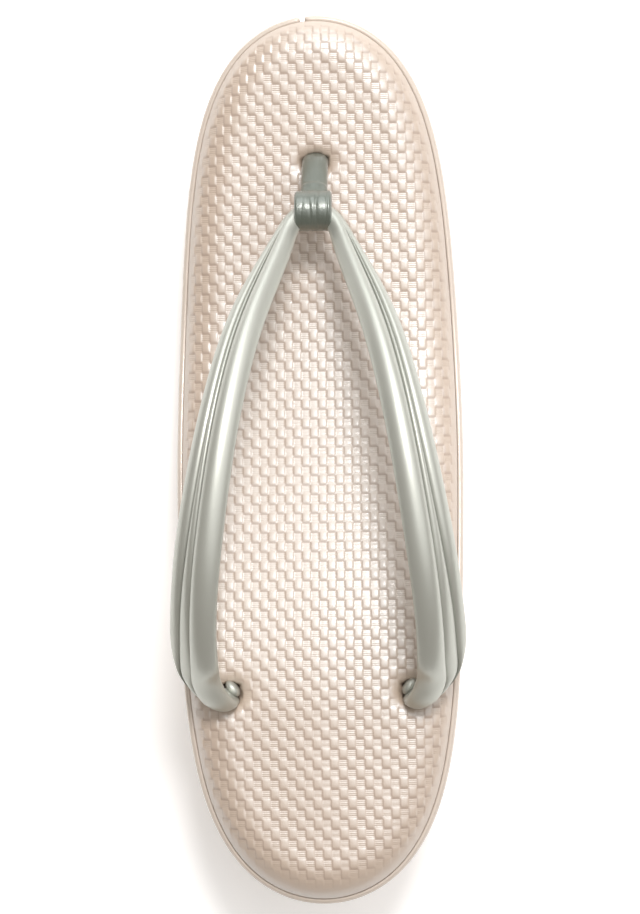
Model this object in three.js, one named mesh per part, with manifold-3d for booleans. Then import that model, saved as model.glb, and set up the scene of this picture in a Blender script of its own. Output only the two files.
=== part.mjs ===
// Zori sandal: a wedge sole with a padded footbed and a V-shaped strap held by a toe loop.
// Millimetres, +Z up. Y runs from heel to toe, X runs across, and Z is 0 on the ground.
// The sandal is symmetric about the YZ plane, but for the joint of the rim band at the toe.
import * as THREE from "three";
import { mergeVertices } from "three/addons/utils/BufferGeometryUtils.js";
import Module from "manifold-3d";

const wasm = await Module();
wasm.setup();

// Outline of the sole, seen from above
const LENGTH = 235;
const HALF_LENGTH = LENGTH / 2;
const HALF_WIDTH = 38.1;
const TOE_FULLNESS = { swell: 18.6, power: 2.6 };
const HEEL_FULLNESS = { swell: 19.3, power: 2.35 };

// Side view: the ground line under the sole and the seat line under the cushion
const GROUND = { archFrom: -42, archTo: 16, archRise: 3.5, rollFrom: 68, toeSpring: 8 };
const SEAT = { heelHeight: 42, ballHeight: 19.5, slopeFrom: -66, slopeTo: 44, rollFrom: 50, toeLift: 4 };

// Layers and gaps
const GAP = 0.3;
const OUTSOLE_THICK = 3;
const OUTSOLE_BEVEL = 0.8;
const TAPER = { side: 3.2, heel: 3.4, toe: 2 };
const FLARE = { power: 1.4, lowRing: 0.3, highRing: 0.65 };
const BAND = { thick: 1.6, drop: 5.5, lip: 1.2, bodyInset: 0.8, jointAt: -3.1, jointGap: 1.3 };
const CUSHION = { height: 7.4, edgeHeight: 1.9, roll: 10, crown: 0.6 };
const ROLL_RINGS = [0, 0.6, 2, 4.4, CUSHION.roll];

// Section of the rim band: how far in from the edge of the sole and how far above the seat
const BAND_SECTION = [
  { inset: BAND.thick, lift: -BAND.drop },
  { inset: 0.2, lift: -BAND.drop },
  { inset: 0, lift: -BAND.drop + 0.6 },
  { inset: 0.1, lift: 0.1 },
  { inset: 0.6, lift: BAND.lip - 0.1 },
  { inset: 1.2, lift: BAND.lip },
  { inset: BAND.thick, lift: BAND.lip - 0.4 },
];

// Strap holes through the cushion, which end blind in the sole body
const FRONT_HOLE = { x: 0, y: 78, halfX: 4.5, halfY: 3.5 };
const REAR_HOLE = { x: 23.6, y: -63.4, halfX: 4.4, halfY: 4.4 };
const SOCKET_DEPTH = 8;
const CUT_PAST = 5;
const DIMPLE = { depth: 2.4, spread: 3.2 };

// Strap arm, one row a station from the toe loop to the rear hole. The face is the side that shows:
// its azimuth is counted from +X towards +Y and its elevation from the horizontal, on the +X arm.
const ARM = [
  { x: 0.0, y: 63.9, z: 45.6, width: 5.4, thick: 4.6, azimuth: 90, elevation: 70 },
  { x: 2.6, y: 63.5, z: 45.7, width: 5.4, thick: 4.6, azimuth: 82, elevation: 70 },
  { x: 5.3, y: 61.7, z: 46.4, width: 5.6, thick: 4.6, azimuth: 62, elevation: 66 },
  { x: 7.6, y: 58.7, z: 48.0, width: 6.4, thick: 4.7, azimuth: 48, elevation: 62 },
  { x: 10.4, y: 52.9, z: 52.2, width: 8.6, thick: 5.0, azimuth: 36, elevation: 58 },
  { x: 16.0, y: 38.6, z: 62.4, width: 12.2, thick: 5.4, azimuth: 22, elevation: 50 },
  { x: 20.4, y: 24.3, z: 70.6, width: 13.8, thick: 5.6, azimuth: 14, elevation: 47 },
  { x: 24.8, y: 5.5, z: 77.0, width: 15.0, thick: 5.8, azimuth: 8, elevation: 45 },
  { x: 28.5, y: -15.1, z: 77.6, width: 16.6, thick: 6.0, azimuth: 2, elevation: 45 },
  { x: 30.7, y: -30.0, z: 74.8, width: 17.6, thick: 6.0, azimuth: -4, elevation: 43 },
  { x: 32.0, y: -42.4, z: 69.2, width: 18.2, thick: 6.0, azimuth: -12, elevation: 38 },
  { x: 31.8, y: -53.3, z: 62.0, width: 16.8, thick: 6.2, azimuth: -26, elevation: 28 },
  { x: 28.7, y: -60.8, z: 56.6, width: 12.4, thick: 6.4, azimuth: -44, elevation: 14 },
  { x: 24.7, y: -62.6, z: 52.0, width: 8.2, thick: 6.2, azimuth: -62, elevation: 4 },
  { x: 23.6, y: -62.6, z: 46.6, width: 7.2, thick: 6.0, azimuth: -75, elevation: 0 },
  { x: 23.6, y: -62.6, z: 36.6, width: 7.2, thick: 6.0, azimuth: -80, elevation: 0 },
];
const ARM_STEPS = 2;

// Section of the strap: three rolls on the face that shows and a flatter back against the foot.
// Across runs from the inner edge at -1 to the outer edge at 1, and lift is a share of the thickness.
const STRAP_SECTION = [
  { across: -1.0, lift: 0.0 },
  { across: -0.93, lift: 0.34 },
  { across: -0.74, lift: 0.56 },
  { across: -0.48, lift: 0.62 },
  { across: -0.22, lift: 0.53 },
  { across: -0.08, lift: 0.3 },
  { across: 0.02, lift: 0.42 },
  { across: 0.15, lift: 0.46 },
  { across: 0.28, lift: 0.38 },
  { across: 0.34, lift: 0.2 },
  { across: 0.44, lift: 0.31 },
  { across: 0.66, lift: 0.33 },
  { across: 0.88, lift: 0.2 },
  { across: 1.0, lift: -0.08 },
  { across: 0.82, lift: -0.3 },
  { across: 0.4, lift: -0.38 },
  { across: -0.1, lift: -0.38 },
  { across: -0.6, lift: -0.36 },
  { across: -0.92, lift: -0.22 },
];

// Toe loop: a strip folded over the point of the strap, whose two ends go down the front hole
const KNOT = { y: 63.9, z: 45.4, radius: 5.3, width: 9.6 };
const KNOT_EDGE = [
  { fromEnd: 0, drop: 1.5 },
  { fromEnd: 0.5, drop: 0.5 },
  { fromEnd: 1.5, drop: 0 },
];
const STEM = [
  { y: 64.9, z: 42.2, width: 7.6, thick: 5.4 },
  { y: 68.7, z: 38.4, width: 7.0, thick: 4.9 },
  { y: 73.6, z: 33.8, width: 6.8, thick: 4.8 },
  { y: 77.0, z: 29.2, width: 6.9, thick: 4.9 },
  { y: 78.0, z: 24.6, width: 7.0, thick: 5.0 },
  { y: 78.0, z: 16.6, width: 7.0, thick: 5.0 },
];
const STEM_SQUARENESS = 0.6;
const STRAP_CLEARANCE = 0.45;

// Fineness of the facets
const AROUND = 60;
const AROUND_BAND = 72;
const AROUND_HOLE = 20;
const AROUND_KNOT = 20;
const AROUND_STEM = 16;
const RING_SCALES = [0.94, 0.84, 0.7, 0.5, 0.25];

const smooth = (t) => {
  const s = Math.min(1, Math.max(0, t));
  return s * s * (3 - 2 * s);
};
const rise = (y, from) => Math.max(0, (y - from) / (HALF_LENGTH - from)) ** 2;

function groundHeight(y) {
  const t = (y - GROUND.archFrom) / (GROUND.archTo - GROUND.archFrom);
  const arch = t > 0 && t < 1 ? GROUND.archRise * Math.sin(Math.PI * t) ** 2 : 0;
  return arch + GROUND.toeSpring * rise(y, GROUND.rollFrom);
}

function seatHeight(y) {
  const t = (y - SEAT.slopeFrom) / (SEAT.slopeTo - SEAT.slopeFrom);
  const wedge = SEAT.heelHeight + (SEAT.ballHeight - SEAT.heelHeight) * smooth(t);
  return wedge + SEAT.toeLift * rise(y, SEAT.rollFrom);
}

// Point of the sole's edge at an angle around it, moved in by the inset
function edgePoint(angle, inset = 0) {
  const at = (a) => {
    const s = Math.sin(a);
    const fullness = s > 0 ? TOE_FULLNESS : HEEL_FULLNESS;
    const half = HALF_WIDTH + fullness.swell * Math.abs(s) ** fullness.power;
    return new THREE.Vector2(Math.cos(a) * half, HALF_LENGTH * s);
  };
  const along = at(angle + 1e-4).sub(at(angle - 1e-4)).normalize();
  return at(angle).add(new THREE.Vector2(-along.y, along.x).multiplyScalar(inset));
}

// Closed ring of points round the sole, with the height taken from a function of y
function edgeRing(inset, height, scale = 1) {
  return Array.from({ length: AROUND }, (_, i) => {
    const angle = (2 * Math.PI * i) / AROUND;
    const depth = typeof inset === "function" ? inset(Math.sin(angle)) : inset;
    const p = edgePoint(angle, depth).multiplyScalar(scale);
    return new THREE.Vector3(p.x, p.y, height(p.y));
  });
}

// Rings that carry a surface from its edge to its middle
function innerRings(inset, height) {
  return RING_SCALES.map((scale) => edgeRing(inset, height, scale));
}

// Closed body through rings of equal count, with a fan of triangles on each end. Each quad is split
// along the same line from its outer ring to its inner one, so that the facets of two layers match.
function closedBody(rings) {
  const count = rings[0].length;
  const points = rings.flat();
  const triangles = [];
  for (let r = 0; r + 1 < rings.length; r += 1) {
    const goesIn = rings[r + 1][0].length() < rings[r][0].length();
    for (let i = 0; i < count; i += 1) {
      const a = r * count + i;
      const b = r * count + ((i + 1) % count);
      const inSplit = [[a, b, b + count], [a, b + count, a + count]];
      const outSplit = [[a, b, a + count], [b, b + count, a + count]];
      triangles.push(...(goesIn ? inSplit : outSplit));
    }
  }
  const fan = (ring, start, flip) => {
    const middle = ring.reduce((sum, p) => sum.add(p), new THREE.Vector3()).divideScalar(count);
    const hub = points.push(middle) - 1;
    for (let i = 0; i < count; i += 1) {
      const a = start + i;
      const b = start + ((i + 1) % count);
      triangles.push(flip ? [hub, b, a] : [hub, a, b]);
    }
  };
  fan(rings[0], 0, true);
  fan(rings.at(-1), (rings.length - 1) * count, false);
  return facingOut(points, triangles);
}

// Geometry of a closed body, turned so that its faces point out
function facingOut(points, triangles) {
  const volume = triangles.reduce((sum, [a, b, c]) => {
    const cross = new THREE.Vector3().crossVectors(points[b], points[c]);
    return sum + points[a].dot(cross);
  }, 0);
  const index = volume < 0 ? triangles.map(([a, b, c]) => [a, c, b]) : triangles;
  const geometry = new THREE.BufferGeometry();
  geometry.setAttribute("position", new THREE.Float32BufferAttribute(points.flatMap((p) => p.toArray()), 3));
  geometry.setIndex(index.flat());
  return geometry;
}

function toSolid(geometry) {
  const bare = geometry.clone();
  bare.deleteAttribute("normal");
  bare.deleteAttribute("uv");
  const merged = mergeVertices(bare, 1e-5);
  return new wasm.Manifold(new wasm.Mesh({
    numProp: 3,
    vertProperties: new Float32Array(merged.attributes.position.array),
    triVerts: new Uint32Array(merged.index.array),
  }));
}

function toGeometry(solid) {
  const mesh = solid.getMesh();
  const geometry = new THREE.BufferGeometry();
  geometry.setAttribute("position", new THREE.BufferAttribute(mesh.vertProperties, 3));
  geometry.setIndex(new THREE.BufferAttribute(mesh.triVerts, 1));
  return geometry;
}

// Upright plug with an oval section and a flared top, which cuts a strap hole and its dimple
function plug(hole, side, bottom, top) {
  const ring = (z, grown) => Array.from({ length: AROUND_HOLE }, (_, i) => {
    const a = (2 * Math.PI * i) / AROUND_HOLE;
    const x = side * hole.x + (hole.halfX + grown) * Math.cos(a);
    return new THREE.Vector3(x, hole.y + (hole.halfY + grown) * Math.sin(a), z);
  });
  const surface = seatHeight(hole.y) + CUSHION.height;
  const flare = DIMPLE.spread / DIMPLE.depth;
  return toSolid(closedBody([
    ring(bottom, 0),
    ring(surface - DIMPLE.depth, 0),
    ring(top, flare * (top - surface + DIMPLE.depth)),
  ]));
}

// Cuts the three strap holes: right through the cushion, and a few millimetres into the sole body
function cutHoles(geometry, depth) {
  const places = [[FRONT_HOLE, 1], [REAR_HOLE, 1], [REAR_HOLE, -1]];
  const cutters = places.map(([hole, side]) => {
    const seat = seatHeight(hole.y);
    return plug(hole, side, seat - depth, seat + CUSHION.height + CUT_PAST);
  });
  return toGeometry(cutters.reduce((body, cutter) => body.subtract(cutter), toSolid(geometry)));
}

// How far the sole body draws in at the ground, more at the heel and the toe than at the sides
const groundInset = (s) => TAPER.side + (s < 0 ? TAPER.heel : TAPER.toe) * s * s;

// Outsole: a rubber sheet on the ground, with a bevelled lower edge
function outsoleGeometry() {
  const bevelled = (s) => groundInset(s) + OUTSOLE_BEVEL;
  const top = (y) => groundHeight(y) + OUTSOLE_THICK;
  return closedBody([
    ...innerRings(bevelled, groundHeight).reverse(),
    edgeRing(bevelled, groundHeight),
    edgeRing(groundInset, (y) => groundHeight(y) + OUTSOLE_BEVEL),
    edgeRing(groundInset, top),
    ...innerRings(groundInset, top),
  ]);
}

// Sole body: a wedge core wrapped in plain sheet, with a step behind the rim band
function soleBodyGeometry() {
  const bottom = (y) => groundHeight(y) + OUTSOLE_THICK + GAP;
  const shoulder = (y) => seatHeight(y) - BAND.drop - GAP;
  const share = (part) => (y) => bottom(y) + (shoulder(y) - bottom(y)) * part;
  const sideInset = (part) => (s) => {
    const left = (1 - part) ** FLARE.power;
    return BAND.bodyInset + (groundInset(s) - BAND.bodyInset) * left;
  };
  const behindBand = BAND.thick + GAP;
  return cutHoles(closedBody([
    ...innerRings(groundInset, bottom).reverse(),
    edgeRing(groundInset, bottom),
    edgeRing(sideInset(FLARE.lowRing), share(FLARE.lowRing)),
    edgeRing(sideInset(FLARE.highRing), share(FLARE.highRing)),
    edgeRing(BAND.bodyInset, shoulder),
    edgeRing(behindBand, shoulder),
    edgeRing(behindBand, seatHeight),
    ...innerRings(behindBand, seatHeight),
  ]), SOCKET_DEPTH);
}

// Rim band: a strip round the top of the sole body, whose ends butt at the toe
function rimBandGeometry() {
  const tipHalf = HALF_WIDTH + TOE_FULLNESS.swell;
  const start = Math.acos((BAND.jointAt - BAND.jointGap / 2) / tipHalf);
  const end = 2 * Math.PI + Math.acos((BAND.jointAt + BAND.jointGap / 2) / tipHalf);
  const rings = Array.from({ length: AROUND_BAND + 1 }, (_, i) => {
    const angle = start + ((end - start) * i) / AROUND_BAND;
    return BAND_SECTION.map(({ inset, lift }) => {
      const p = edgePoint(angle, inset);
      return new THREE.Vector3(p.x, p.y, seatHeight(p.y) + lift);
    });
  });
  return closedBody(rings);
}

// Height of the cushion's top above the seat, at a distance in from the cushion's edge
function cushionRise(distance) {
  const t = Math.min(1, distance / CUSHION.roll);
  const shoulder = Math.sqrt(1 - (1 - t) ** 2);
  return CUSHION.edgeHeight + (CUSHION.height - CUSHION.edgeHeight) * shoulder;
}

// Footbed cushion: flat below, with a rounded edge and a slight crown
function cushionGeometry() {
  const edge = BAND.thick + GAP;
  const under = (y) => seatHeight(y) + GAP;
  const rollRings = ROLL_RINGS.map((d) => edgeRing(edge + d, (y) => seatHeight(y) + cushionRise(d)));
  const crowned = RING_SCALES.map((scale) => {
    const height = (y) => seatHeight(y) + CUSHION.height + CUSHION.crown * (1 - scale);
    return edgeRing(edge + CUSHION.roll, height, scale);
  });
  return cutHoles(closedBody([
    ...innerRings(edge, under).reverse(),
    edgeRing(edge, under),
    ...rollRings,
    ...crowned,
  ]), CUT_PAST);
}

// Rings of strap section along both arms, from one rear hole to the other, grown by a margin
function strapRings(margin) {
  const places = new THREE.CatmullRomCurve3(mirrored((row, side) => [side * row.x, row.y, row.z]));
  const sizes = new THREE.CatmullRomCurve3(mirrored((row) => [row.width, row.thick, 0]));
  const faces = new THREE.CatmullRomCurve3(mirrored((row, side) => {
    const azimuth = THREE.MathUtils.degToRad(row.azimuth);
    const elevation = THREE.MathUtils.degToRad(row.elevation);
    const flat = Math.cos(elevation);
    return [side * flat * Math.cos(azimuth), flat * Math.sin(azimuth), Math.sin(elevation)];
  }));
  places.curveType = "catmullrom";
  sizes.curveType = "catmullrom";
  faces.curveType = "catmullrom";
  const steps = (places.points.length - 1) * ARM_STEPS;
  return Array.from({ length: steps + 1 }, (_, i) => {
    const t = i / steps;
    const along = places.getTangent(t);
    const face = faces.getPoint(t).projectOnPlane(along).normalize();
    const side = new THREE.Vector3().crossVectors(face, along);
    const size = sizes.getPoint(t);
    return STRAP_SECTION.map(({ across, lift }) => {
      const outward = across * (size.x / 2 + margin);
      const proud = lift * size.y + margin * Math.sign(lift + 0.01);
      return places.getPoint(t).addScaledVector(side, outward).addScaledVector(face, proud);
    });
  });
}

// Values of the arm's rows along the left arm, then the right arm, as points of a curve
function mirrored(value) {
  const left = ARM.slice(1).reverse().map((row) => new THREE.Vector3(...value(row, -1)));
  const right = ARM.map((row) => new THREE.Vector3(...value(row, 1)));
  return [...left, ...right];
}

// Toe loop: a barrel over the point of the strap and a flat stem down to the front hole
function toeLoopGeometry() {
  const circle = (x, radius) => Array.from({ length: AROUND_KNOT }, (_, i) => {
    const a = (2 * Math.PI * i) / AROUND_KNOT;
    return new THREE.Vector3(x, KNOT.y + radius * Math.cos(a), KNOT.z + radius * Math.sin(a));
  });
  const end = (side) => KNOT_EDGE.map(({ fromEnd, drop }) => (
    circle(side * (KNOT.width / 2 - fromEnd), KNOT.radius - drop)
  ));
  const barrel = toSolid(closedBody([...end(-1), ...end(1).reverse()]));
  const stem = toSolid(closedBody(stemRings()));
  const channel = toSolid(closedBody(strapRings(STRAP_CLEARANCE)));
  return toGeometry(barrel.add(stem).subtract(channel));
}

// Rings of the stem: a rounded flat section that follows the rows
function stemRings() {
  const squared = (v) => Math.sign(v) * Math.abs(v) ** STEM_SQUARENESS;
  return STEM.map((row, i) => {
    const before = STEM[Math.max(0, i - 1)];
    const after = STEM[Math.min(STEM.length - 1, i + 1)];
    const along = new THREE.Vector3(0, after.y - before.y, after.z - before.z).normalize();
    const across = new THREE.Vector3(1, 0, 0);
    const through = new THREE.Vector3().crossVectors(along, across);
    return Array.from({ length: AROUND_STEM }, (_, k) => {
      const a = (2 * Math.PI * k) / AROUND_STEM;
      return new THREE.Vector3(0, row.y, row.z)
        .addScaledVector(across, (row.width / 2) * squared(Math.cos(a)))
        .addScaledVector(through, (row.thick / 2) * squared(Math.sin(a)));
    });
  });
}

function piece(name, geometry, color, roughness, metalness = 0) {
  const mesh = new THREE.Mesh(geometry, new THREE.MeshStandardMaterial({ color, roughness, metalness }));
  mesh.name = name;
  return mesh;
}

const group = new THREE.Group();
group.add(piece("outsole", outsoleGeometry(), 0xb9a48c, 0.8));
group.add(piece("sole_body", soleBodyGeometry(), 0xe9d3c8, 0.4));
group.add(piece("rim_band", rimBandGeometry(), 0xf6ece6, 0.35));
group.add(piece("footbed_cushion", cushionGeometry(), 0xe6cdbf, 0.35));
group.add(piece("strap", closedBody(strapRings(0)), 0xaeb0a6, 0.35, 0.3));
group.add(piece("toe_loop", toeLoopGeometry(), 0x6c736c, 0.45));

export default group;
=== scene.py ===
import math
import bpy
import numpy as np
from mathutils import Matrix, Vector


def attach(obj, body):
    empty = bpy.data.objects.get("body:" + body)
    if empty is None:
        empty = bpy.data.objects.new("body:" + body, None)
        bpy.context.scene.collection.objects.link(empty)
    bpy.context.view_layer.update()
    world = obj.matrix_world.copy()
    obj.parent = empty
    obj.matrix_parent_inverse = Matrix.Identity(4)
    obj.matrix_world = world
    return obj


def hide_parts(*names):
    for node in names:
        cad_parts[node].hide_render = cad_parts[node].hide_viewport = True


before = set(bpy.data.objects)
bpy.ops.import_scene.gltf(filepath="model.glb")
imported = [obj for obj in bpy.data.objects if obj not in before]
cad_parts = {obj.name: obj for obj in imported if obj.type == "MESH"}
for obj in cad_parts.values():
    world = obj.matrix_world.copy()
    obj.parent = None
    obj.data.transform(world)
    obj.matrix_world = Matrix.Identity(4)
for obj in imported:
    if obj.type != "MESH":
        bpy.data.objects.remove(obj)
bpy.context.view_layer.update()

# Camera: a metre above the footbed and 38 mm to the right of the sandal's middle, so that it looks
# down slightly from the right. The toe points up in its frame.
CAMERA_PLACE = Vector((0.03814, -0.00099, 1.028))
CAMERA_AIM = Vector((0.0, -0.00036, 0.028))
PICTURE_UP = Vector((0.0166, 0.9999, 0.0))
PICTURE_HEIGHT = 0.24286
SENSOR = 24.0

camera_data = bpy.data.cameras.new("camera")
camera = bpy.data.objects.new("camera", camera_data)
bpy.context.collection.objects.link(camera)
back = (CAMERA_PLACE - CAMERA_AIM).normalized()
right = PICTURE_UP.cross(back).normalized()
up = back.cross(right)
camera.matrix_world = Matrix([
    (right.x, up.x, back.x, CAMERA_PLACE.x),
    (right.y, up.y, back.y, CAMERA_PLACE.y),
    (right.z, up.z, back.z, CAMERA_PLACE.z),
    (0.0, 0.0, 0.0, 1.0),
])
camera_data.sensor_fit = "VERTICAL"
camera_data.sensor_height = SENSOR
camera_data.lens = SENSOR * (CAMERA_PLACE - CAMERA_AIM).length / PICTURE_HEIGHT
bpy.context.scene.camera = camera

# Floor and light: a white table that glows a little, a small lamp beyond the toe that throws the
# shadows, a wide soft panel high on the right and a low one beyond the toe for the gloss, and a dim
# warm white surround.
FLOOR_HALF = 1.6
FLOOR_GLOW = 0.3
TABLE_WHITE = (0.93, 0.93, 0.93)
LAMPS = [
    # place, size across, power in watts, colour
    ((0.30, 1.05, 2.10), 0.57, 33.0, (1.0, 0.98, 0.97)),
    ((1.00, 0.70, 2.25), 4.0, 44.0, (0.97, 0.98, 1.0)),
    ((-0.03, 1.95, 1.02), 1.5, 15.0, (0.94, 0.98, 1.0)),
]
LAMP_AIM = Vector((0.0, 0.0, 0.03))
SURROUND = 0.30
SURROUND_WHITE = (1.0, 0.92, 0.82, 1.0)


class Wire:
    """Output socket of a shader node. Sums and products of wires add the nodes that work them out."""

    def __init__(self, tree, socket=None):
        self.tree = tree
        self.socket = socket

    def node(self, kind, settings=None, inputs=None, output=0):
        """Adds a node: its settings first, then the values or wires of its inputs."""
        made = self.tree.nodes.new(kind)
        for name, value in (settings or {}).items():
            setattr(made, name, value)
        for key, value in (inputs or {}).items():
            if isinstance(value, Wire):
                self.tree.links.new(value.socket, made.inputs[key])
            else:
                made.inputs[key].default_value = value
        return Wire(self.tree, made.outputs[output])

    def math(self, operation, *values):
        return self.node("ShaderNodeMath", {"operation": operation}, dict(enumerate(values)))

    def __add__(self, other):
        return self.math("ADD", self, other)

    def __sub__(self, other):
        return self.math("SUBTRACT", self, other)

    def __rsub__(self, other):
        return self.math("SUBTRACT", other, self)

    def __mul__(self, other):
        return self.math("MULTIPLY", self, other)

    __radd__ = __add__
    __rmul__ = __mul__

    def floor(self):
        return self.math("FLOOR", self)

    def fraction(self):
        return self.math("FRACT", self)

    def sine(self):
        return self.math("SINE", self)

    def step(self, low, high):
        """Goes smoothly from 0 at low to 1 at high."""
        return self.node(
            "ShaderNodeMapRange", {"interpolation_type": "SMOOTHSTEP"},
            {"Value": self, "From Min": low, "From Max": high},
        )

    def tint(self, first, second):
        """Colour that goes from first to second as this wire goes from 0 to 1."""
        factor, first_colour, second_colour, mixed = 0, 6, 7, 2
        return self.node(
            "ShaderNodeMix", {"data_type": "RGBA"},
            {factor: self, first_colour: first, second_colour: second}, output=mixed,
        )

    def parts(self):
        """The three numbers of a vector."""
        split = self.node("ShaderNodeSeparateXYZ", inputs={0: self})
        return [Wire(self.tree, socket) for socket in split.socket.node.outputs]

    def noise(self, scale, detail):
        """Cloudy numbers round 0.5, with as many cells to a metre as the scale says."""
        return self.node(
            "ShaderNodeTexNoise",
            inputs={"Vector": self, "Scale": scale, "Detail": detail, "Roughness": 0.5},
        )


class Finish:
    """New material with one Principled shader, whose even values are set directly."""

    def __init__(self, name, colour, roughness, **even):
        self.material = bpy.data.materials.new(name)
        self.material.use_nodes = True
        self.tree = self.material.node_tree
        self.shader = self.tree.nodes["Principled BSDF"]
        self.shader.inputs["Base Color"].default_value = (*colour, 1.0)
        self.shader.inputs["Roughness"].default_value = roughness
        for key, value in even.items():
            self.shader.inputs[key.replace("_", " ")].default_value = value
        self.wire = Wire(self.tree)

    def place(self):
        """Place on the object, in metres."""
        object_place = 3
        return self.wire.node("ShaderNodeTexCoord", output=object_place)

    def feed(self, name, wire):
        self.tree.links.new(wire.socket, self.shader.inputs[name])

    def bump(self, height, depth):
        """Raises and lowers the shading by height times depth, in metres."""
        self.feed("Normal", self.wire.node(
            "ShaderNodeBump", inputs={"Height": height, "Distance": depth, "Strength": 1.0},
        ))


floor_mesh = bpy.data.meshes.new("floor")
corners = [(x * FLOOR_HALF, y * FLOOR_HALF, 0.0) for x, y in ((-1, -1), (1, -1), (1, 1), (-1, 1))]
floor_mesh.from_pydata(corners, [], [(0, 1, 2, 3)])
floor_finish = Finish("table top", TABLE_WHITE, 0.9, Emission_Color=(1.0, 1.0, 1.0, 1.0),
                      Emission_Strength=FLOOR_GLOW)
floor_mesh.materials.append(floor_finish.material)
floor = bpy.data.objects.new("floor", floor_mesh)
bpy.context.collection.objects.link(floor)

for lamp_number, (lamp_place, lamp_size, lamp_watts, lamp_colour) in enumerate(LAMPS):
    lamp_data = bpy.data.lights.new(f"lamp_{lamp_number}", "AREA")
    lamp_data.shape = "DISK"
    lamp_data.size = lamp_size
    lamp_data.energy = lamp_watts
    lamp_data.color = lamp_colour
    lamp = bpy.data.objects.new(f"lamp_{lamp_number}", lamp_data)
    lamp.location = lamp_place
    lamp.rotation_euler = (Vector(lamp_place) - LAMP_AIM).to_track_quat("Z", "Y").to_euler()
    bpy.context.collection.objects.link(lamp)

world = bpy.data.worlds.new("surround")
world.use_nodes = True
backdrop = world.node_tree.nodes["Background"]
backdrop.inputs["Color"].default_value = SURROUND_WHITE
backdrop.inputs["Strength"].default_value = SURROUND
bpy.context.scene.world = world
bpy.context.scene.view_settings.view_transform = "Standard"

# Outsole: a sheet of beige rubber under the whole sole, cut to its outline with a bevelled lower edge.
# It is glued on, flat at the heel and the ball of the foot, and has shallow grooves from side to side.
# Sizes of the pieces are in millimetres, x to the right, y towards the toe and z up.
HALF_LENGTH = 117.5
HALF_WIDTH = 38.1
TOE_SWELL, TOE_POWER = 18.6, 2.6
HEEL_SWELL, HEEL_POWER = 19.3, 2.35
ARCH_FROM, ARCH_TO, ARCH_RISE = -42.0, 16.0, 3.5
SPRING_FROM, TOE_SPRING = 68.0, 8.0
TAPER_SIDE, TAPER_HEEL, TAPER_TOE = 3.2, 3.4, 2.0
OUTSOLE_THICK = 3.0
OUTSOLE_BEVEL = 0.8
OUTSOLE_ACROSS = (-1.0, -0.96, -0.7, -0.35, 0.0, 0.35, 0.7, 0.96, 1.0)
OUTSOLE_STATIONS, OUTLINE_SAMPLES = 90, 721
GROOVE_COUNTS, GROOVE_OFFSET = (-22, 22), 0.8
GROOVE_STEP, GROOVE_WIDE, GROOVE_DEEP = 5.0, 1.6, 0.7
GROOVE_WALL, GROOVE_AT_EDGE = 0.35, 0.8
RUBBER = (0.40, 0.30, 0.21)
RUBBER_WORN = (0.47, 0.36, 0.26, 1.0)


def smooth(t):
    """Goes smoothly from 0 to 1 as t does."""
    s = np.clip(t, 0.0, 1.0)
    return s * s * (3.0 - 2.0 * s)


def rise(y, start):
    """Share of an upward curve that begins at start and reaches 1 at the toe."""
    return (np.maximum(0.0, y - start) / (HALF_LENGTH - start)) ** 2


def ground(y):
    """Height of the outsole's underside."""
    t = np.clip((y - ARCH_FROM) / (ARCH_TO - ARCH_FROM), 0.0, 1.0)
    return ARCH_RISE * np.sin(np.pi * t) ** 2 + TOE_SPRING * rise(y, SPRING_FROM)


def outline_point(angle):
    """Point of the sole's outline, which swells from an ellipse towards the toe and the heel."""
    s = np.sin(angle)
    swell = np.where(s > 0, TOE_SWELL, HEEL_SWELL)
    power = np.where(s > 0, TOE_POWER, HEEL_POWER)
    return np.stack([np.cos(angle) * (HALF_WIDTH + swell * np.abs(s) ** power), HALF_LENGTH * s], axis=-1)


def edge(angle, inset=0.0):
    """Points of the sole's outline at angles round it, moved in by the inset, and the inward normals."""
    tiny = 1e-4
    along = outline_point(angle + tiny) - outline_point(angle - tiny)
    along /= np.linalg.norm(along, axis=-1, keepdims=True)
    inward = np.stack([-along[..., 1], along[..., 0]], axis=-1)
    return outline_point(angle) + inward * np.asarray(inset)[..., None], inward


def turn(count):
    return np.linspace(0.0, 2.0 * np.pi, count, endpoint=False)


def ground_inset(angle):
    """How far the outsole's edge lies inside the sole's outline."""
    s = np.sin(angle)
    return TAPER_SIDE + np.where(s < 0, TAPER_HEEL, TAPER_TOE) * s * s


def rings_mesh(rings):
    """Points and faces of a skin through closed rings of equal count, with a fan on each end."""
    count = len(rings[0])
    points = np.concatenate(rings)
    index = np.arange(len(points)).reshape(len(rings), count)
    after = np.roll(index, -1, axis=1)
    quads = np.stack([index[:-1], after[:-1], after[1:], index[1:]], axis=-1)
    faces = [tuple(q) for q in quads.reshape(-1, 4).tolist()]
    points = np.concatenate([points, [rings[0].mean(axis=0), rings[-1].mean(axis=0)]])
    first_hub, last_hub = len(points) - 2, len(points) - 1
    faces += [(first_hub, int(b), int(a)) for a, b in zip(index[0], after[0])]
    faces += [(last_hub, int(a), int(b)) for a, b in zip(index[-1], after[-1])]
    return points, faces


def make_piece(name, points, faces, finish, node, slot, sharp=None):
    """Mesh object of points in millimetres, which stands for a node; the slot is not used."""
    mesh = bpy.data.meshes.new(name)
    mesh.from_pydata((np.asarray(points) * 0.001).tolist(), [], faces)
    mesh.validate()
    mesh.shade_smooth()
    if sharp is not None:
        mesh.set_sharp_from_angle(angle=math.radians(sharp))
    mesh.materials.append(finish.material)
    piece = bpy.data.objects.new(name, mesh)
    bpy.context.collection.objects.link(piece)
    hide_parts(node)
    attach(piece, "root")
    return piece


def outsole_half_width(y, inset):
    angle = np.linspace(-np.pi / 2, np.pi / 2, OUTLINE_SAMPLES)
    outline, _ = edge(angle, ground_inset(angle) + inset)
    return np.interp(y, outline[:, 1], np.maximum(outline[:, 0], 0.0), left=0.0, right=0.0)


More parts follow.
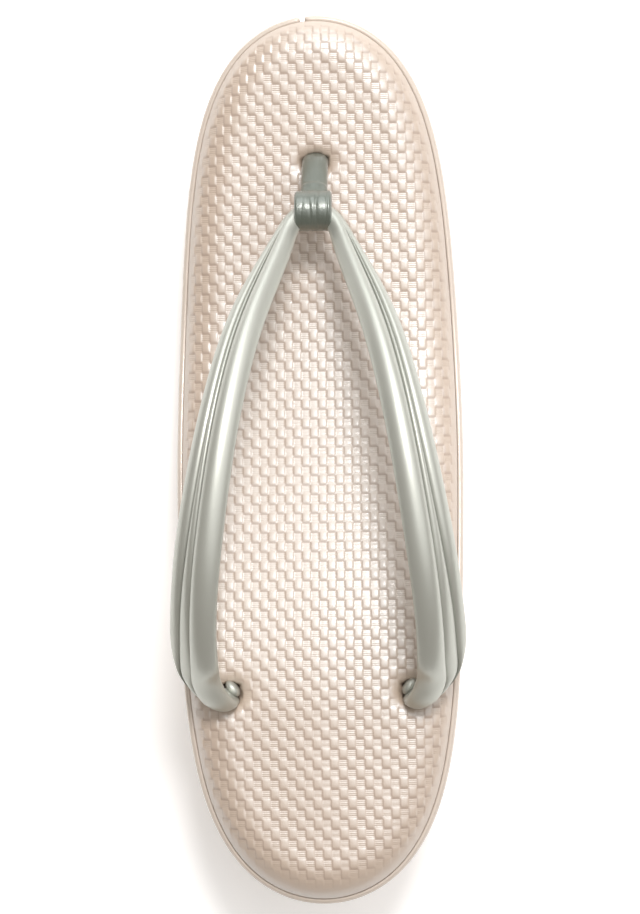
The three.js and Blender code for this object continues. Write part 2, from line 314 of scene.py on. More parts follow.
def outsole_ring(y, groove):
    """Section of the outsole from side to side: grooved bottom, bevelled sides and plain top."""
    low = outsole_half_width(y, OUTSOLE_BEVEL)
    full = outsole_half_width(y, 0.0)
    base = float(ground(y))
    depths = [groove * (GROOVE_AT_EDGE if abs(s) == 1.0 else 1.0) for s in OUTSOLE_ACROSS]
    bottom = [(low * s, y, base + depth) for s, depth in zip(OUTSOLE_ACROSS, depths)]
    sides = [(full, y, base + OUTSOLE_BEVEL), (full, y, base + OUTSOLE_THICK)]
    top = [(full * s, y, base + OUTSOLE_THICK) for s in (0.5, 0.0, -0.5)]
    other_side = [(-x, y_, z) for x, y_, z in reversed(sides)]
    return np.array(bottom + sides + top + other_side)


end_angles = np.array([-np.pi / 2, np.pi / 2])
tips, _ = edge(end_angles, ground_inset(end_angles))
heel_tip, toe_tip = tips[:, 1]
groove_starts = np.arange(*GROOVE_COUNTS) * GROOVE_STEP + GROOVE_OFFSET
groove_edges = np.array([0.0, GROOVE_WALL, GROOVE_WIDE - GROOVE_WALL, GROOVE_WIDE])
end_swing = np.sin(np.linspace(-1.57, 1.57, OUTSOLE_STATIONS))
plain_stations = (toe_tip + heel_tip) / 2 + (toe_tip - heel_tip) / 2 * end_swing
stations = np.concatenate([(groove_starts[:, None] + groove_edges).ravel(), plain_stations])
stations = np.unique(stations.round(3))
stations = stations[(stations > heel_tip + 0.01) & (stations < toe_tip - 0.01)]
groove_depths = np.zeros(len(stations))
for start in groove_starts:
    inside = (stations > start + 0.3) & (stations < start + GROOVE_WIDE - 0.3)
    groove_depths[inside] = GROOVE_DEEP
outsole_rings = [outsole_ring(y, groove) for y, groove in zip(stations, groove_depths)]
rubber = Finish("outsole rubber", RUBBER, 0.75)
rubber_grain = rubber.place().noise(900.0, 4.0)
rubber.feed("Base Color", rubber_grain.tint((*RUBBER, 1.0), RUBBER_WORN))
rubber.bump(rubber_grain, 0.0002)
make_piece("rubber_outsole", *rings_mesh(outsole_rings), rubber, "outsole", "outsole_rubber", sharp=35)

# Sole body: a wedge core wrapped in plain pearl-pink sheet. The sheet is pulled tight down the sides,
# which draw in towards the ground, and is tucked in between the core and the outsole.
GAP = 0.3
HEEL_SEAT, BALL_SEAT = 42.0, 19.5
SLOPE_FROM, SLOPE_TO = -66.0, 44.0
LIFT_FROM, TOE_LIFT = 50.0, 4.0
BAND_THICK, BAND_DROP = 1.6, 5.5
BODY_INSET = 0.8
BODY_LAP = 0.6
FLARE_POWER = 1.4
TUCK_DEEP, TUCK_SHARE, TUCK_END = 1.1, 0.07, 1.1
BODY_COUNT = 300
BODY_SHARES = (0.0, 0.004, 0.015, 0.035, 0.07, 0.13, 0.2, 0.3, 0.4, 0.5, 0.6, 0.7, 0.8, 0.9, 1.0)
PEARL_PINK = (0.59, 0.45, 0.345)


def seat(y):
    """Height of the sole body's top, which the footbed lies on."""
    wedge = HEEL_SEAT + (BALL_SEAT - HEEL_SEAT) * smooth((y - SLOPE_FROM) / (SLOPE_TO - SLOPE_FROM))
    return wedge + TOE_LIFT * rise(y, LIFT_FROM)


def ring(inset, height, scale=1.0):
    """Closed ring of points round the sole, at an inset and with the height taken from y."""
    angle = turn(BODY_COUNT)
    place, _ = edge(angle, inset(angle) if callable(inset) else np.full(BODY_COUNT, inset))
    place = place * scale
    return np.column_stack([place, height(place[:, 1])])


def body_bottom(y):
    return ground(y) + OUTSOLE_THICK + GAP


def body_side(share):
    """Ring at a share of the way up the side, a little rounded in at the lower edge."""
    tuck = TUCK_DEEP * (1.0 - np.sqrt(1.0 - (1.0 - min(1.0, share / TUCK_SHARE)) ** 2))

    def inset(angle):
        return BODY_INSET + (ground_inset(angle) - BODY_INSET) * (1.0 - share) ** FLARE_POWER + tuck

    def height(y):
        top = seat(y) - BAND_DROP + BODY_LAP
        return body_bottom(y) + (top - body_bottom(y)) * share
    return ring(inset, height)


behind_band = BAND_THICK + GAP
body_rings = [ring(lambda a: ground_inset(a) + TUCK_END, body_bottom, s) for s in (0.1, 0.4, 0.7, 0.9)]
body_rings += [body_side(share) for share in BODY_SHARES]
body_rings += [ring(behind_band, lambda y: seat(y) - BAND_DROP + BODY_LAP + 0.1)]
body_rings += [ring(behind_band, seat, s) for s in (1.0, 0.9, 0.7, 0.4, 0.1)]
sheet = Finish("plain pearl sheet", PEARL_PINK, 0.38, Metallic=0.15, Coat_Weight=0.25)
soft_waves = sheet.place().noise(60.0, 2.0)
fine_grain = sheet.place().noise(2600.0, 3.0)
sheet.bump(soft_waves + fine_grain * 0.06, 0.0006)
make_piece("wrapped_sole", *rings_mesh(body_rings), sheet, "sole_body", "sole_sheet", sharp=50)

# Rim band: a narrow strip of pearl-white sheet folded over a cord, glued round the top edge of the
# sole. Its two ends butt at the toe, a little left of the middle, with rounded corners.
JOINT_AT, JOINT_GAP = -3.1, 1.3
BAND_COUNT, BAND_NEAR_ENDS = 520, (0.0006, 0.0012, 0.0018)
BAND_LENGTH = 560.0
BAND_CORNER, BAND_END_SHARE = 1.4, 0.55
BAND_SECTION = np.array([
    # inset from the outline, height above the seat
    (1.60, -5.40), (0.60, -5.50), (0.22, -5.46), (0.05, -5.20), (0.0, -4.60), (0.0, -3.0),
    (0.0, -1.2), (0.04, -0.3), (0.16, 0.35), (0.38, 0.85), (0.68, 1.13), (1.0, 1.2),
    (1.30, 1.18), (1.50, 1.12), (1.58, 1.0), (1.60, 0.7), (1.60, -2.0), (1.60, -4.0),
])
# Place in the section that the two ends are drawn in to
BAND_HEART = np.array([0.9, -2.0])
PEARL_WHITE = (0.61, 0.53, 0.46)


def band_ring(share):
    """Section of the strip at a share of its length, drawn in to its middle at the two ends."""
    angle = joint_start + (joint_end - joint_start) * share
    from_end = min(share, 1.0 - share) * BAND_LENGTH
    grown = math.sqrt(max(0.0, 1.0 - (1.0 - min(1.0, from_end / BAND_CORNER)) ** 2))
    drawn = BAND_END_SHARE + (1.0 - BAND_END_SHARE) * grown
    inset, lift = (BAND_HEART + (BAND_SECTION - BAND_HEART) * drawn).T
    place, _ = edge(np.full(len(inset), angle), inset)
    return np.column_stack([place, seat(place[:, 1]) + lift])


tip_half = HALF_WIDTH + TOE_SWELL
joint_start = math.acos((JOINT_AT - JOINT_GAP / 2) / tip_half)
joint_end = 2 * math.pi + math.acos((JOINT_AT + JOINT_GAP / 2) / tip_half)
near_ends = np.array(BAND_NEAR_ENDS)
band_shares = np.sort(np.concatenate([np.linspace(0.0, 1.0, BAND_COUNT), near_ends, 1.0 - near_ends]))
band_rings = [band_ring(share) for share in band_shares]
rim_sheet = Finish("rim sheet", PEARL_WHITE, 0.33, Metallic=0.1, Coat_Weight=0.3)
rim_sheet.bump(rim_sheet.place().noise(2200.0, 3.0), 0.00008)
make_piece("rim_strip", *rings_mesh(band_rings), rim_sheet, "rim_band", "rim_sheet", sharp=50)

# Footbed cushion: foam with a rounded edge, covered with pearl-pink sheet embossed as a plain weave.
# Raised tiles in neighbouring columns are half a cell apart, with a threaded recess between two tiles
# of a column. The cover is drawn over the edge and into the three strap holes.
# Height above the seat in the middle and at the edge, and how far in the rounded edge reaches
CUSHION_HEIGHT, CUSHION_EDGE, CUSHION_ROLL = 7.4, 1.9, 10.0
CUSHION_CROWN, CROWN_OVER = 0.6, 26.0
CUSHION_SIDE_GAP = 0.05
ROLL_START, ROLL_SAMPLES = 0.35, 400
# Width of a column of tiles, and how much it narrows for each millimetre towards the toe
COLUMN_WIDE, COLUMN_FAN = 2.222, 0.00022
CELL_LONG = [
    # place along the sole, length of a cell along the cover
    (-120, 5.27), (-60, 5.17), (-35, 5.23), (-5, 5.16), (20, 5.27), (75, 5.24), (90, 5.40), (120, 5.42),
]
# Middle of the column that counts as 0, heel end of its tile that counts as 0, and both counts' ends
COLUMN_AT, CELL_AT = -5.67, 14.65
COLUMN_COUNTS, HALF_CELL_COUNTS = (-20, 21), (-56, 54)
# Share of a cell that is raised, and the height of its relief
TILE_LONG = 0.58
TILE_HIGH = 0.32
TILE_PROFILE = [
    # place in the cell from the heel end of the tile, share of its height
    (0.0, 0.1), (0.025, 0.3), (0.08, 0.62), (0.135, 0.82), (0.185, 0.93), (0.24, 1.0), (0.31, 1.0),
    (0.4, 0.95), (0.475, 0.86), (0.525, 0.74), (0.58, 0.5), (0.635, 0.3), (0.685, 0.3), (0.74, 0.37),
    (0.81, 0.4), (0.9, 0.3), (0.975, 0.1), (1.0, 0.1),
]
# Share of a tile's height that is lost at its left and right sides, and how suddenly
TILE_LEFT_DROP, TILE_RIGHT_DROP, TILE_DROP_POWER = 0.55, 0.3, 2.4
COLUMN_SAMPLES = np.array([-0.455, -0.31, 0.31, 0.455])
CELL_SAMPLES = np.array([0.025, 0.08, 0.135, 0.185, 0.24, 0.31, 0.40, 0.475])
HOLES = [
    # middle across, middle along, half size across, half size along
    (0.0, 78.0, 3.4, 2.5), (23.7, -61.8, 3.2, 3.2), (-23.7, -61.8, 3.2, 3.2),
]
# Dimple round a hole and pit in it, with places as shares of the hole's half size
DIMPLE_DEEP, DIMPLE_FALL = 1.6, 2.4
PIT_DEEP, PIT_FROM, PIT_OVER = 5.0, 0.78, 0.26
# Where the relief dies out: round a hole, along the edge, and further in at the heel end
PLAIN_ROUND_HOLE = 0.9
PLAIN_FROM, PLAIN_EDGE, PLAIN_FADE = 0.4, 1.0, 1.2
PLAIN_HEEL, HEEL_FROM, HEEL_OVER = 8.5, 95.0, 22.0
UNDER_SHARES = (1.0, 0.93, 0.6, 0.2)
THREADS_A_CELL = 10.0
FOOTBED_COLOUR = (0.56, 0.425, 0.325, 1.0)
# Painted shade for the grooves at each tile's left side and heel end
PAINTED_SHADE_COLOUR = (0.45, 0.315, 0.23, 1.0)
PEARL_GLOSS = (0.80, 0.93, 1.0, 1.0)

# Place along the sole for each count of cells, counted from the row that starts at CELL_AT
along_y = np.linspace(-135.0, 135.0, 2701)
slope = np.gradient(seat(along_y), along_y)
cell_long = np.interp(along_y, *np.array(CELL_LONG, dtype=float).T)
cells_to = np.cumsum(np.sqrt(1.0 + slope ** 2) / cell_long) * (along_y[1] - along_y[0])
cells_to -= np.interp(CELL_AT, along_y, cells_to)
half_cells = np.arange(*HALF_CELL_COUNTS) / 2.0
cell_rows = np.sort((half_cells[:, None] + CELL_SAMPLES).ravel())
cell_columns = (np.arange(*COLUMN_COUNTS)[:, None] + 0.5 + COLUMN_SAMPLES).ravel()
v, u = np.meshgrid(cell_rows, cell_columns, indexing="ij")
grid_y = np.broadcast_to(np.interp(cell_rows, cells_to, along_y)[:, None], v.shape).copy()
grid_x = COLUMN_AT + (u - 0.5) * (COLUMN_WIDE - COLUMN_FAN * grid_y)

# The cover's own arc over the rounded edge, so that the weave is not stretched there
roll_angle = np.linspace(ROLL_START, np.pi / 2, ROLL_SAMPLES)
roll_in = CUSHION_ROLL * (1.0 - np.cos(roll_angle) / np.cos(ROLL_START))
rolled = (np.sin(roll_angle) - np.sin(ROLL_START)) / (1.0 - np.sin(ROLL_START))
roll_up = CUSHION_EDGE + (CUSHION_HEIGHT - CUSHION_EDGE) * rolled
roll_arc = np.concatenate([[0.0], np.cumsum(np.hypot(np.diff(roll_in), np.diff(roll_up)))])
spare = roll_arc[-1] - CUSHION_ROLL
cushion_outline, cushion_inward = edge(turn(1440), BAND_THICK + CUSHION_SIDE_GAP)


def nearest_edge(x, y):
    """Distance in from the cushion's outline, and the nearest point of the outline with its normal."""
    flat = np.column_stack([x.ravel(), y.ravel()])
    nearest = np.empty(len(flat), dtype=int)
    block_size = 4000
    for start in range(0, len(flat), block_size):
        block = flat[start:start + block_size]
        across_gap = block[:, None, 0] - cushion_outline[None, :, 0]
        along_gap = block[:, None, 1] - cushion_outline[None, :, 1]
        nearest[start:start + block_size] = (across_gap ** 2 + along_gap ** 2).argmin(axis=1)
    normal = cushion_inward[nearest]
    distance = ((flat - cushion_outline[nearest]) * normal).sum(axis=1)
    foot = flat - normal * distance[:, None]
    return distance.reshape(x.shape), foot.reshape(*x.shape, 2), normal.reshape(*x.shape, 2)


def from_holes(x, y):
    """Distance from the middle of each strap hole, as a share of its half size."""
    return [np.hypot((x - hole_x) / half_x, (y - hole_y) / half_y)
            for hole_x, hole_y, half_x, half_y in HOLES]


def hole_depth(share):
    """How far the cover is drawn down: a pit in the hole, with a soft dimple round it."""
    dimple = DIMPLE_DEEP * np.exp(-np.maximum(0.0, share - 1.0) * DIMPLE_FALL)
    return dimple + PIT_DEEP * (1.0 - smooth((share - PIT_FROM) / PIT_OVER))


distance, foot, normal = nearest_edge(grid_x, grid_y)
arc = distance + spare
inside = arc > 0.0
over_edge = arc < roll_arc[-1]
plan = np.where(over_edge, np.interp(arc, roll_arc, roll_in), distance) * inside
placed = foot + normal * plan[..., None]
height = np.where(over_edge, np.interp(arc, roll_arc, roll_up), CUSHION_HEIGHT)
crown = CUSHION_CROWN * smooth((plan - CUSHION_ROLL) / CROWN_OVER)
surface = np.dstack([placed, seat(placed[..., 1]) + height + crown])
hole_shares = from_holes(placed[..., 0], placed[..., 1])
surface[..., 2] -= np.max([hole_depth(share) for share in hole_shares], axis=0)
near_hole = np.max([1.0 - smooth((share - 1.0) / PLAIN_ROUND_HOLE) for share in hole_shares], axis=0)

# Embossed relief of one tile: rounded along and across, with the threaded recess beyond its toe end
column = np.floor(u)
across = (u - column - 0.5) * 2.0
cell = np.mod(v + 0.5 * np.mod(column, 2.0), 1.0)
side_drop = np.where(across < 0.0, TILE_LEFT_DROP, TILE_RIGHT_DROP)
tile = np.interp(cell, *np.array(TILE_PROFILE).T) * (1.0 - side_drop * np.abs(across) ** TILE_DROP_POWER)
plain_wide = PLAIN_EDGE + PLAIN_HEEL * smooth((-placed[..., 1] - HEEL_FROM) / HEEL_OVER) + PLAIN_FADE
fade = smooth((plan - PLAIN_FROM) / plain_wide) * (1.0 - near_hole) * inside
down = np.gradient(surface, axis=0)
sideways = np.gradient(surface, axis=1)
outward = np.cross(sideways, down)
outward /= np.maximum(np.linalg.norm(outward, axis=-1, keepdims=True), 1e-9)
surface = surface + outward * (TILE_HIGH * tile * fade)[..., None]

# Faces of the cover, and only the points that they use
grid_index = np.arange(v.size).reshape(v.shape)
quads = np.stack([
    grid_index[:-1, :-1], grid_index[:-1, 1:], grid_index[1:, 1:], grid_index[1:, :-1],
], axis=-1).reshape(-1, 4)
quads = quads[inside.ravel()[quads].any(axis=1)]
used = np.unique(quads)
renumber = np.full(v.size, -1)
renumber[used] = np.arange(len(used))
quads = renumber[quads]
cover_points = surface.reshape(-1, 3)[used]

# Lower edge: the rim of the cover goes down to the seat, and a plain underside closes the cushion
edges = np.concatenate([quads[:, [0, 1]], quads[:, [1, 2]], quads[:, [2, 3]], quads[:, [3, 0]]])
ordered = np.sort(edges, axis=1)
_, first_seen, times = np.unique(ordered, axis=0, return_index=True, return_counts=True)
border = edges[first_seen[times == 1]]
follows = dict(border.tolist())
loop = [int(border[0][0])]
while follows[loop[-1]] != loop[0]:
    loop.append(follows[loop[-1]])
loop = np.array(loop)
under_rings = []
for share in UNDER_SHARES:
    under = cover_points[loop] * (share, share, 1.0)
    under[:, 2] = seat(under[:, 1]) + GAP
    under_rings.append(under)
hub_point = under_rings[-1].mean(axis=0, keepdims=True)
all_points = np.concatenate([cover_points, *under_rings, hub_point])
starts = len(cover_points) + np.arange(len(UNDER_SHARES)) * len(loop)
ladder = [loop] + [start + np.arange(len(loop)) for start in starts]
faces = [tuple(q) for q in quads.tolist()]
for upper, lower in zip(ladder[:-1], ladder[1:]):
    wall = np.stack([np.roll(upper, -1), upper, lower, np.roll(lower, -1)], axis=-1)
    faces += [tuple(q) for q in wall.tolist()]
hub = len(all_points) - 1
faces += [(hub, int(b), int(a)) for a, b in zip(ladder[-1], np.roll(ladder[-1], -1))]

# Painted shade: the sheet's colour is darkened in the grooves at each tile's left side and heel end, the
# sides turned away from the lamps. The threads stand in the recesses, and both die out with the relief
weave = Finish("woven-look footbed sheet", FOOTBED_COLOUR[:3], 0.45, IOR=2.7, Coat_Weight=0.4,
               Coat_Roughness=0.18, Specular_Tint=PEARL_GLOSS)
vector_output = 1
pattern = weave.wire.node("ShaderNodeAttribute", {"attribute_name": "weave"}, output=vector_output)
wire_u, wire_v, wire_fade = pattern.parts()
wire_column = wire_u.floor()
wire_left = (wire_column + 0.5 - wire_u) * 2.0
wire_cell = (wire_v + (wire_column * 0.5).fraction()).fraction()
recess = wire_cell.step(TILE_LONG - 0.02, TILE_LONG + 0.02) * (1.0 - wire_cell.step(0.97, 1.0))
threads = (wire_cell * (2.0 * math.pi * THREADS_A_CELL)).sine() * recess
# Painted shade: masks of each tile's left side and heel end, where the sheet's colour is darkened
left_side_shade = wire_left.step(0.45, 0.95) * (1.0 - wire_cell.step(0.5, 0.62))
heel_end_shade = (1.0 - wire_cell.step(0.02, 0.2)) + wire_cell.step(0.97, 1.0)
cover_grain = weave.place().noise(2400.0, 3.0)
shaded_grooves = (left_side_shade + heel_end_shade) * wire_fade
weave.feed("Base Color", shaded_grooves.step(0.0, 1.1).tint(FOOTBED_COLOUR, PAINTED_SHADE_COLOUR))
weave.feed("Roughness", 0.43 + cover_grain * 0.1 + shaded_grooves * 0.12)
weave.bump(threads * wire_fade * 0.1 + cover_grain * 0.2, 0.00016)
cushion = make_piece("woven_footbed", all_points, faces, weave, "footbed_cushion", "footbed_sheet")
stored = np.zeros((len(all_points), 3), dtype=np.float32)
stored[:len(cover_points)] = np.column_stack([values.ravel()[used] for values in (u, v, fade)])
weave_values = cushion.data.attributes.new("weave", "FLOAT_VECTOR", "POINT")
weave_values.data.foreach_set("vector", stored.ravel())

# Strap: a V of silver-grey sheet with a satin coat, sewn over soft padding with two long pleats, so
# that three rolls show. Its point goes through the toe loop. At each rear hole the outer roll tucks
# under, the inner roll hooks round into the hole, and the folded lower layer shows beside it.
ARM = np.array([
    # x, y, z of the middle, width, thickness, azimuth and elevation of the face,
    # depth of the pleats, where they lie across, share of the outer roll that is left
    (0.0, 63.9, 45.4, 5.4, 4.4, 90, 70, 0.0, 0.30, 0.45, 1.0),
    (2.6, 63.3, 45.5, 5.4, 4.4, 80, 72, 0.0, 0.30, 0.45, 1.0),
    (5.3, 61.4, 46.2, 5.2, 4.5, 62, 72, 0.0, 0.30, 0.45, 1.0),
    (7.2, 57.8, 48.4, 5.8, 4.7, 46, 72, 0.1, 0.30, 0.46, 1.0),
    (9.5, 52.3, 52.4, 7.5, 5.0, 34, 72, 0.6, 0.27, 0.43, 1.0),
    (15.9, 38.6, 62.4, 10.4, 5.4, 22, 68, 1.0, 0.10, 0.30, 1.0),
    (20.5, 24.3, 70.6, 11.7, 5.7, 14, 64, 1.0, 0.04, 0.28, 1.0),
    (24.8, 5.5, 77.0, 12.9, 5.9, 8, 60, 1.0, -0.02, 0.26, 1.0),
    (28.4, -15.1, 77.6, 14.6, 6.1, 2, 56, 1.0, -0.08, 0.29, 1.0),
    (30.5, -30.0, 74.8, 16.0, 6.2, -4, 50, 1.0, -0.14, 0.35, 1.0),
    (31.6, -42.4, 69.2, 17.2, 6.2, -8, 45, 1.0, -0.19, 0.43, 1.0),
    (31.9, -52.0, 62.4, 18.6, 6.2, -14, 43, 1.0, -0.17, 0.44, 1.0),
    (30.5, -56.2, 59.5, 13.0, 5.9, -22, 42, 1.0, 0.24, 0.93, 0.2),
    (28.6, -59.8, 57.0, 10.0, 5.7, -32, 40, 0.9, 0.56, 0.95, 0.0),
    (26.8, -62.2, 54.8, 8.4, 5.5, -40, 33, 0.5, 0.82, 0.96, 0.0),
    (24.9, -63.2, 52.0, 6.8, 5.2, -44, 20, 0.0, 0.90, 0.96, 0.0),
    (24.1, -62.9, 48.4, 6.1, 4.9, -42, 5, 0.0, 0.90, 0.96, 0.0),
    (24.0, -62.9, 45.0, 6.0, 4.8, -40, 0, 0.0, 0.90, 0.96, 0.0),
])
# Stations between two rows, and how many of them the soft average reaches each way
ARM_STEPS, EVEN_REACH = 18, 18
# Edge of the section and limits of its two pleats, as shares of half its width
SECTION_EDGE = 0.985
FIRST_MOST, SECOND_MOST, LEAST_ROLL = 0.93, 0.96, 0.02
ROLL_TOPS = (0.60, 0.44, 0.34)
PLEAT_LIFTS = (0.22, 0.12)
INNER_EDGE_LIFT, OUTER_EDGE_LIFT, SINGLE_EDGE_LIFT = -0.08, -0.1, -0.09
LINING_BULGE = 0.27
# Folded lower layer in the right rear hole: its middle, its half sizes, and the way of its length
NUB_MIDDLE = (23.0, -60.4, 47.2)
NUB_HALF = (2.5, 1.4, 2.9)
NUB_WAY = (-0.632, -0.775)
NUB_RINGS, NUB_COUNT, NUB_ROUND = 15, 24, 0.7
STRAP_SILVER = (0.49, 0.50, 0.455)


def catmull(rows, steps):
    """Smooth curve through the rows, with the given number of steps between two rows."""
    longer = np.concatenate([[2 * rows[0] - rows[1]], rows, [2 * rows[-1] - rows[-2]]])
    out = []
    for i in range(1, len(longer) - 2):
        a, b, c, d = longer[i - 1:i + 3]
        for t in np.arange(steps) / steps:
            out.append(0.5 * (2 * b + (c - a) * t + (2 * a - 5 * b + 4 * c - d) * t ** 2
                              + (3 * b - a - 3 * c + d) * t ** 3))
    out.append(rows[-1])
    return np.array(out)


def unit(vectors):
    return vectors / np.linalg.norm(vectors, axis=-1, keepdims=True)


def roll_arch(start, end, start_lift, end_lift, top, count):
    """One padded roll: a round arch over the stretch from start to end, steep at its two pleats."""
    t = np.sin(np.linspace(-1.0, 1.0, count) * np.pi / 2)
    x = start + (end - start) * (t + 1.0) / 2.0
    line = start_lift + (end_lift - start_lift) * (t + 1.0) / 2.0
    return np.column_stack([x, line + (top - (start_lift + end_lift) / 2.0) * (1.0 - t * t) ** 0.5])


def evened(rings, reach):
    """Rings with a soft average run along the strap, which takes out kinks between the rows."""
    weights = np.hanning(2 * reach + 3)[1:-1]
    longer = np.concatenate([rings[:1].repeat(reach, axis=0), rings, rings[-1:].repeat(reach, axis=0)])
    return sum(w * longer[i:i + len(rings)] for i, w in enumerate(weights / weights.sum()))


def strap_section(pleat, first, second, outer_left):
    """Closed section of the strap: three rolls in front and a flat lining behind."""
    first = min(first, FIRST_MOST)
    second = min(max(second, first + LEAST_ROLL), SECOND_MOST)
    last = second + (SECTION_EDGE - second) * min(1.0, max(0.0, outer_left))
    valley, low_valley = PLEAT_LIFTS
    inner = roll_arch(-SECTION_EDGE, first, INNER_EDGE_LIFT, valley, ROLL_TOPS[0], 19)
    middle = roll_arch(first, second, valley, low_valley, ROLL_TOPS[1], 11)[1:]
    outer = roll_arch(second, last, low_valley, OUTER_EDGE_LIFT, ROLL_TOPS[2], 14)[1:]
    front = np.concatenate([inner, middle, outer])
    across = np.clip((front[:, 0] + SECTION_EDGE) / (last + SECTION_EDGE) * 2.0 - 1.0, -1.0, 1.0)
    single = SINGLE_EDGE_LIFT + (ROLL_TOPS[0] - SINGLE_EDGE_LIFT) * np.sqrt(1.0 - across ** 2)
    shown = min(1.0, max(0.0, pleat))
    front[:, 1] = front[:, 1] * shown + single * (1.0 - shown)
    t = np.linspace(1.0, -1.0, 14)[1:-1]
    lining_x = (last - SECTION_EDGE) / 2.0 + (last + SECTION_EDGE) / 2.0 * t
    lining = np.column_stack([lining_x, OUTER_EDGE_LIFT - LINING_BULGE * (1.0 - t ** 4.0) ** 0.5])
    return np.concatenate([front, lining])


def arm_rows(side):
    """Rows of the arm on one side, with the face as a direction in place of its two angles."""
    azimuth = np.radians(ARM[:, 5])
    elevation = np.radians(ARM[:, 6])
    flat = np.cos(elevation)
    face = np.column_stack([side * flat * np.cos(azimuth), flat * np.sin(azimuth), np.sin(elevation)])
    return np.column_stack([side * ARM[:, 0], ARM[:, 1], ARM[:, 2], face, ARM[:, 3:5], ARM[:, 7:]])


def nub(side):
    """Rounded end of the folded lower layer, which stands in the rear hole on one side."""
    way = np.array([NUB_WAY[0] * side, NUB_WAY[1], 0.0])
    through = np.array([way[1], -way[0], 0.0])
    middle = np.array([NUB_MIDDLE[0] * side, NUB_MIDDLE[1], NUB_MIDDLE[2]])
    circle = turn(NUB_COUNT)[:, None]
    flat_ring = way * NUB_HALF[0] * np.cos(circle) + through * NUB_HALF[1] * np.sin(circle)
    tilts = np.linspace(-1.45, 1.45, NUB_RINGS)
    heights = NUB_HALF[2] * np.sin(tilts)
    return rings_mesh([middle + flat_ring * np.cos(tilt) ** NUB_ROUND + (0.0, 0.0, height)
                       for tilt, height in zip(tilts, heights)])


def joined(*meshes):
    """Several meshes as one: all their points, and their faces renumbered to fit."""
    points, faces = [], []
    for more_points, more_faces in meshes:
        shift = sum(len(group) for group in points)
        points.append(more_points)
        faces += [tuple(i + shift for i in face) for face in more_faces]
    return np.concatenate(points), faces


both_arms = catmull(np.concatenate([arm_rows(-1)[:0:-1], arm_rows(1)]), ARM_STEPS)
middle_line = both_arms[:, :3]
strap_along = unit(np.gradient(middle_line, axis=0))
strap_face = both_arms[:, 3:6]
strap_face = unit(strap_face - strap_along * (strap_face * strap_along).sum(axis=1, keepdims=True))
strap_side = np.cross(strap_face, strap_along)
strap_rings = []
for place, face_way, side_way, (wide, thick, *form) in zip(middle_line, strap_face, strap_side,
                                                           both_arms[:, 6:]):
    section = strap_section(*form)
    strap_rings.append(place + side_way * section[:, :1] * wide / 2 + face_way * section[:, 1:] * thick)
strap_skin = rings_mesh(evened(np.array(strap_rings), EVEN_REACH))
silver = Finish("silver-grey satin sheet", STRAP_SILVER, 0.4, Metallic=0.6)
leather_grain = silver.place().noise(3200.0, 3.0)
slow_tone = silver.place().noise(70.0, 2.0)
silver.feed("Roughness", 0.37 + slow_tone * 0.08)
silver.bump(leather_grain * 0.2 + slow_tone * 0.5, 0.00012)
strap = make_piece("padded_strap", *joined(strap_skin, nub(-1.0), nub(1.0)), silver,
                   "strap", "strap_sheet")

# Toe loop: a strip of dark green-grey sheet folded over the point of the strap. Its two ends lie on
# each other as a flat stem that goes down the front hole. The strip is creased lengthwise, and the
# stem swells a little in a low fold near its upper end.
LOOP_MIDDLE = np.array([0.0, 63.9, 45.4])
LOOP_RADIUS, LOOP_WIDE = 5.3, 9.7
LOOP_COUNT, LOOP_RINGS = 120, 121
LOOP_CREASES = [
    # place across, half width, depth, angle round the loop where it is deepest
    (-0.58, 0.07, 0.05, 0.9), (-0.20, 0.09, 0.12, 1.9), (0.10, 0.04, 0.04, 2.3),
    (0.26, 0.10, 0.13, 0.9), (0.66, 0.06, 0.09, 1.9),
]
CREASE_DRIFT, CREASE_LEAST = 0.09, 0.35
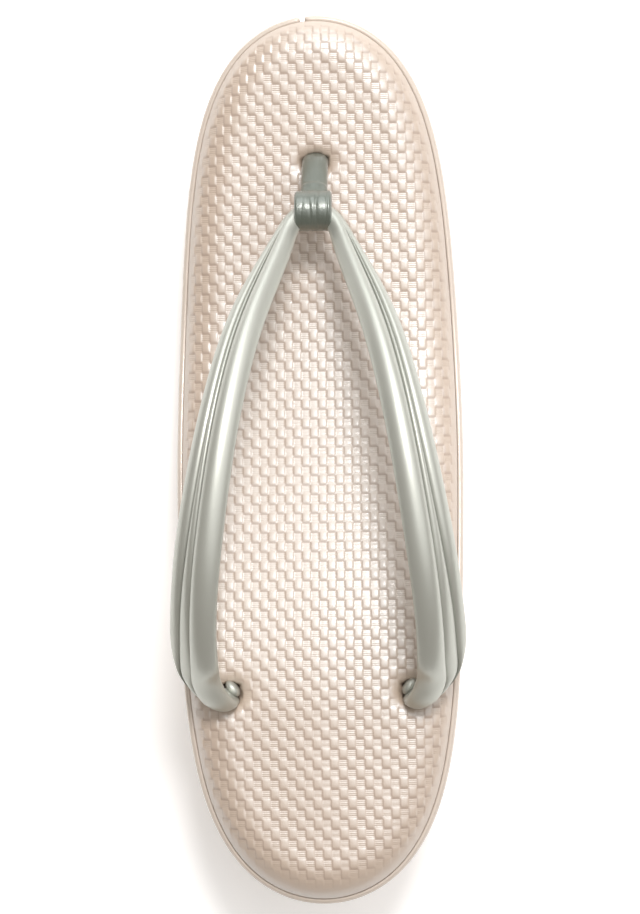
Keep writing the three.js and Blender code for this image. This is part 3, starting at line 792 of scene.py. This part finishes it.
# Where the loop's ends begin to draw in, by how much and how suddenly, and the crown between them
LOOP_END, LOOP_END_DROP, LOOP_END_POWER, LOOP_CROWN = 0.84, 0.12, 2.6, 0.02
STEM = np.array([
    # y, z of the middle, width, thickness
    (64.9, 42.2, 8.0, 6.4), (66.6, 41.0, 7.8, 6.4), (67.8, 39.8, 7.2, 5.2), (68.8, 38.8, 7.1, 5.2),
    (69.7, 37.8, 7.1, 5.5), (70.5, 36.9, 7.0, 4.8), (73.6, 33.8, 6.9, 4.8), (76.6, 30.2, 7.0, 4.9),
    (78.0, 26.6, 7.1, 5.1), (78.2, 21.4, 7.0, 5.1),
])
STEM_STEPS = 8
STEM_ROUND_ACROSS, STEM_ROUND_THROUGH = 0.9, 0.85
LOOP_DARK = (0.12, 0.14, 0.115)


def loop_ring(share):
    """Ring of the loop at a share of its half width, with its creases and its drawn-in ends."""
    end = max(0.0, (abs(share) - LOOP_END) / (1.0 - LOOP_END))
    radius = LOOP_RADIUS * (1.0 - LOOP_END_DROP * end ** LOOP_END_POWER - LOOP_CROWN * share ** 2)
    swing = np.full(len(around), radius)
    for place, half, deep, deepest in LOOP_CREASES:
        drift = CREASE_DRIFT * np.sin(around * 1.5 + place * 9.0)
        dent = np.exp(-((share - place - drift) / half) ** 2)
        strength = CREASE_LEAST + (1.0 - CREASE_LEAST) * np.cos((around - deepest) / 2) ** 2
        swing -= deep * dent * strength
    return LOOP_MIDDLE + np.column_stack([
        np.full(len(around), LOOP_WIDE / 2 * share), swing * np.cos(around), swing * np.sin(around),
    ])


def stem_ring(row, way):
    """Rounded oblong section of the stem, square to the way that it goes."""
    y, z, wide, thick = row
    y_way, z_way = way
    cosine, sine = np.cos(around), np.sin(around)
    x = wide / 2 * np.sign(cosine) * np.abs(cosine) ** STEM_ROUND_ACROSS
    lift = thick / 2 * np.sign(sine) * np.abs(sine) ** STEM_ROUND_THROUGH
    return np.column_stack([x, y - z_way * lift, z + y_way * lift])


around = turn(LOOP_COUNT)
barrel = rings_mesh([loop_ring(share) for share in np.linspace(-1.0, 1.0, LOOP_RINGS)])
stem_line = catmull(STEM, STEM_STEPS)
stem_along = unit(np.gradient(stem_line[:, :2], axis=0))
stem = rings_mesh([stem_ring(row, way) for row, way in zip(stem_line, stem_along)])
dark = Finish("dark green-grey sheet", LOOP_DARK, 0.3, Metallic=0.3, IOR=1.9, Coat_Weight=0.6,
              Coat_Roughness=0.24)
dark.bump(dark.place().noise(2600.0, 3.0), 0.00008)
make_piece("loop_strip", *joined(barrel, stem), dark, "toe_loop", "loop_sheet")
